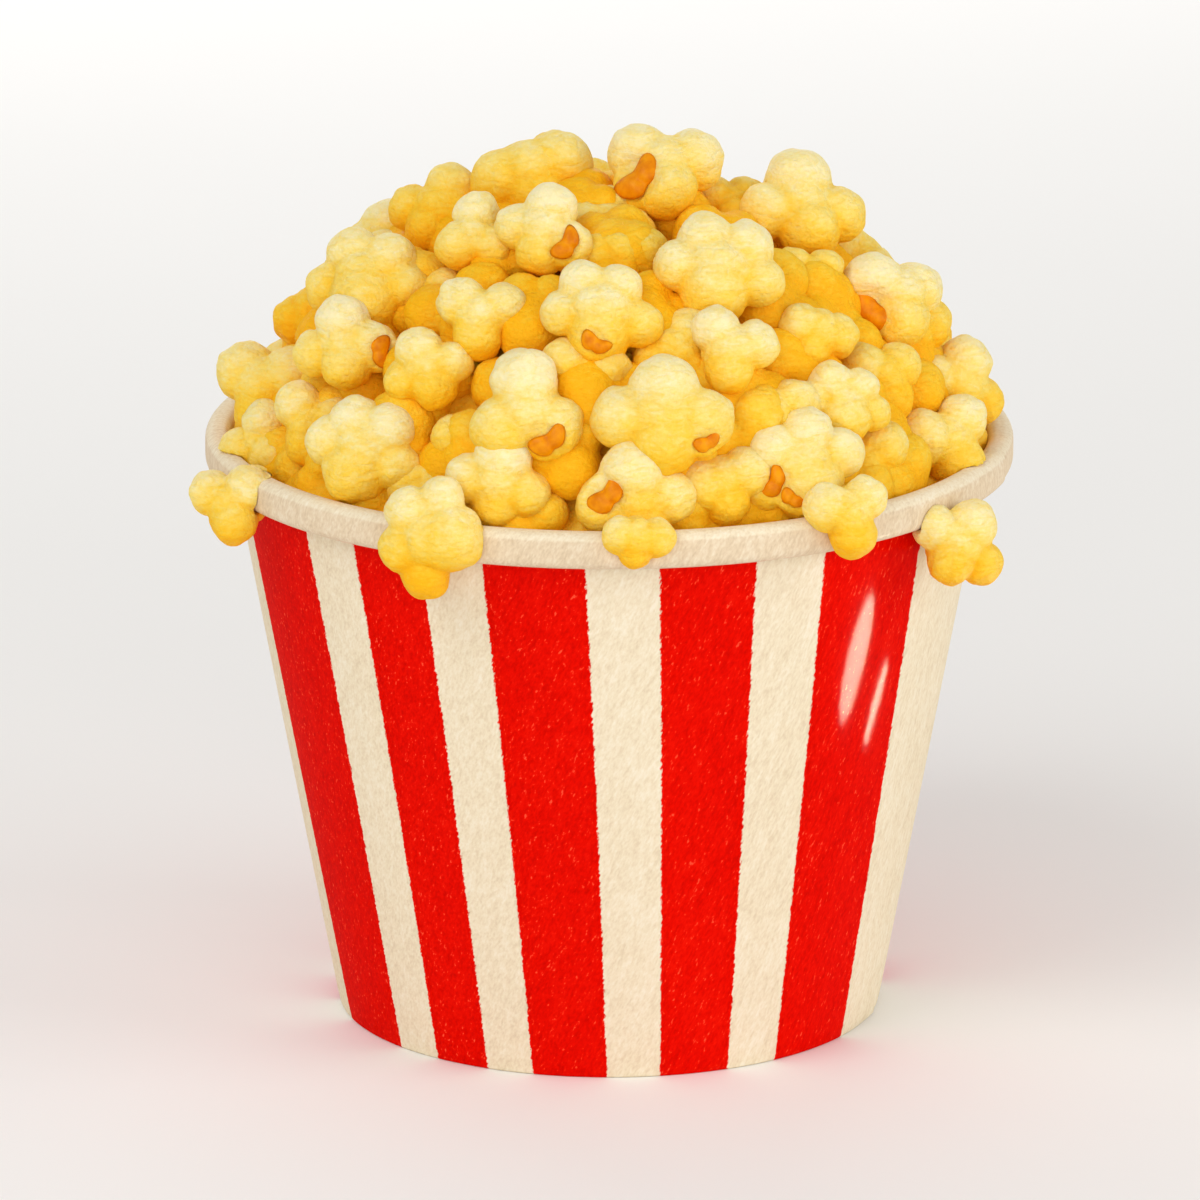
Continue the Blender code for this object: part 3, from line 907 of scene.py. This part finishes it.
def hull_shell(middle, normal, up, size, turn):
    """A curled bean of hull: at angle a and share s from its middle, the radius is s (0.72 + 0.28
    cos 2a + 0.06 cos 3a), bent sideways by the square of how far along it the point is. The height
    falls off as 1 - s squared, with a fold across the waist. The under side mirrors the top,
    thinner, and both meet at the edge and close at the middle."""
    around, across = 36, 8
    a = np.linspace(0, TAU, around, endpoint=False)[None, :]
    s = np.concatenate([np.linspace(0, 1, across), np.linspace(1, 0, across)[1:]])[:, None]
    side = np.concatenate([np.ones(across), -0.4 * np.ones(across - 1)])[:, None]
    half = size * MM / 2
    r = half * s * (0.72 + 0.28 * np.cos(2 * a) + 0.06 * np.cos(3 * a + 0.6))
    along, over = r * np.cos(a), r * np.sin(a)
    over = over + 0.42 * half * ((along / half) ** 2 - 0.3)
    fold = 1 - 0.35 * np.exp(-((along / (0.2 * half)) ** 2))
    h = 0.34 * half * (1 - s**2) * side * fold
    first = np.cross(up, normal)
    first /= np.linalg.norm(first)
    second = np.cross(normal, first)
    t = math.radians(turn)
    first, second = math.cos(t) * first + math.sin(t) * second, math.cos(t) * second - math.sin(t) * first
    grid = middle + along[..., None] * first + over[..., None] * second + h[..., None] * normal
    return closed_grid(grid)


def build_hulls(beds, finish):
    """The amber hulls, one piece, from each one's place, normal, up, size and turn."""
    shells = [hull_shell(*bed) for bed in beds]
    count = len(shells[0][0])
    points = np.concatenate([shell[0] for shell in shells])
    faces = [[i + k * count for i in face] for k, shell in enumerate(shells) for face in shell[1]]
    hulls = make_mesh("amber_hulls", points, faces)
    hulls.data.materials.append(finish)
    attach(hulls, "root")
    return hulls


def build_popcorn(finish, hull_material):
    """Every flake of the heap, one piece for each kind, then the hulls, the under layer and the
    core."""
    fine, plain, coarse = cube_ball(FRONT_CELLS), cube_ball(OUTER_CELLS), cube_ball(UNDER_CELLS)
    by_kind = {kind: [] for kind in FLAKE_KINDS}
    beds = []
    rows = [(row, FRONT_LEAN) for row in FRONT_FLAKES] + [(row, COURSE_LEAN) for row in course_flakes()]
    for index, ((kind, azimuth, rise, size, turn, sink, butter), lean) in enumerate(rows):
        middle = dome_point(azimuth, rise, sink * MM)
        axes = flake_axes(azimuth, rise, turn, lean)
        half = size * MM / 2
        front = index < len(FRONT_FLAKES)
        cups = flake_cups(kind, index) if front else []
        ball = fine if front else plain
        by_kind[kind].append(place_flake(ball, kind, index, middle, axes, size, butter, cups))
        for crown, normal, radius, hull_size, hull_turn in cups:
            bed = middle + half * (crown - 0.7 * CUP_DEPTH * radius * normal) @ axes
            beds.append((bed, normal @ axes, axes[1], hull_size, hull_turn))
    pieces = [joined("popcorn_" + kind, flakes, finish) for kind, flakes in by_kind.items()]
    pieces.append(build_hulls(beds, hull_material))
    under = []
    for index, (kind, azimuth, rise, size, turn, sink, butter) in enumerate(under_flakes(), 600):
        middle = dome_point(azimuth, rise, sink * MM)
        axes = flake_axes(azimuth, rise, turn, 0.0)
        under.append(place_flake(coarse, kind, index, middle, axes, size, butter))
    pieces.append(joined("popcorn_under_layer", under, finish))
    pieces.append(build_core(finish))
    for piece in pieces:
        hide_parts("popcorn_heap")


def build_core(finish):
    """The rough popcorn under the flakes: the dome at 0.88 of its width and 0.78 of its rise with
    folds pressed into it, a skirt that reaches the bucket's wall below the rim, and a flat floor
    inside the bucket. The skirt falls off upwards as exp(-(height / 7 mm)^2)."""
    ways, quads, _ = cube_ball(CORE_CELLS)
    points = ways * np.array([0.88 * DOME_RADIUS, 0.88 * DOME_RADIUS, 0.78 * DOME_RISE])
    height = np.maximum(points[:, 2] + 5 * MM, 0)
    skirt = 15 * MM * np.exp(-((height / (7 * MM)) ** 2))
    relief = folds(points, 14 * MM, 901) * 3 * MM + folds(points, 6 * MM, 902) * 2.4 * MM
    points = points * (1 + ((relief + skirt - 2 * MM) / np.linalg.norm(points, axis=1))[:, None])
    points[:, 2] = np.maximum(points[:, 2] + DOME_MIDDLE, HEIGHT - 16 * MM)
    # Butter and painted shade: the core is gold all over, and deepest gold in the creases of its folds.
    butter = 1.0 - 0.3 * folds(points, 6 * MM, 902)
    core = make_mesh("popcorn_core", clear_of_rim(points, False), quads.tolist(), {"butter": butter})
    core.data.materials.append(finish)
    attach(core, "root")
    return core


def build_rim_flakes(finish):
    """The flakes over the rim, each standing for its own solid."""
    ball = cube_ball(FRONT_CELLS)
    for number, (kind, azimuth, height, stand, size, turn, butter) in enumerate(RIM_FLAKES, start=1):
        a = math.radians(azimuth)
        radius = RIM_RADIUS + stand * MM
        middle = np.array([radius * math.sin(a), -radius * math.cos(a), height * MM])
        axes = flake_axes(azimuth, 0, turn, FRONT_LEAN if abs(azimuth) < 90 else 0.0)
        flake = place_flake(ball, kind, 700 + number, middle, axes, size, butter, outside=True)
        piece = joined(f"spilled_flake_{number}", [flake], finish)
        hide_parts(f"rim_flake_{number}")


# --- Studio --------------------------------------------------------------------------------------


def aimed(made, place, target):
    made.location = place
    direction = np.array(target) - np.array(place)
    made.rotation_mode = "QUATERNION"
    made.rotation_quaternion = Vector(direction).to_track_quat("-Z", "Y")


def area_light(name, place, target, size, power, colour=(1, 1, 1)):
    data = bpy.data.lights.new(name, "AREA")
    data.shape = "RECTANGLE"
    data.size, data.size_y = size
    data.energy = power
    data.color = colour
    light = bpy.data.objects.new(name, data)
    bpy.context.scene.collection.objects.link(light)
    aimed(light, place, target)
    return light


def build_studio():
    scene = bpy.context.scene
    scene.view_settings.view_transform = "Standard"
    half = 4.0
    corners = np.array([(-half, -half, 0), (half, -half, 0), (half, half, 0), (-half, half, 0)])
    floor = make_mesh("floor", corners, [[0, 1, 2, 3]])
    floor.data.materials.append(floor_finish())
    world = bpy.data.worlds.new("studio")
    world.use_nodes = True
    world.node_tree.nodes["Background"].inputs["Color"].default_value = (1.0, 0.985, 0.96, 1.0)
    world.node_tree.nodes["Background"].inputs["Strength"].default_value = 0.485
    scene.world = world
    area_light("key", (-0.8, -0.9, 1.3), (0, 0, 0.1), (0.9, 0.9), 8.2)
    area_light("front", (0.15, -1.7, 0.6), (0, 0, 0.1), (2.2, 0.9), 10)
    area_light("right", (1.5, -0.5, 0.6), (0, 0, 0.1), (0.9, 0.9), 7.5)
    area_light("back", (-0.2, 1.3, 0.6), (0, 0, 0.12), (1.4, 0.8), 6.5)
    for name, (size, power, roll, place, target) in GLOSS_LIGHTS.items():
        light = area_light(name, place, target, size, power, (1.0, 0.95, 0.74))
        light.rotation_quaternion @= Quaternion((0, 0, 1), math.radians(roll))
        light.data.shape = "ELLIPSE"
        light.data.spread = math.radians(90)
        light.visible_camera = False
        light.visible_diffuse = False


def build_camera():
    elevation = math.radians(16.2)
    distance = 2.9
    target = np.array([-0.002, 0.0, 0.0903])
    data = bpy.data.cameras.new("camera")
    data.sensor_width = 36.0
    data.lens = 36.0 * distance / (1200 / 4580)
    data.clip_start, data.clip_end = 0.1, 20.0
    camera = bpy.data.objects.new("camera", data)
    bpy.context.scene.collection.objects.link(camera)
    back = np.array([0.0, -math.cos(elevation), math.sin(elevation)])
    aimed(camera, target + distance * back, target)
    bpy.context.scene.camera = camera


build_sleeve(sleeve_finish())
build_base(base_finish())
popcorn = popcorn_finish()
build_popcorn(popcorn, hull_finish())
build_rim_flakes(popcorn)
build_studio()
build_camera()
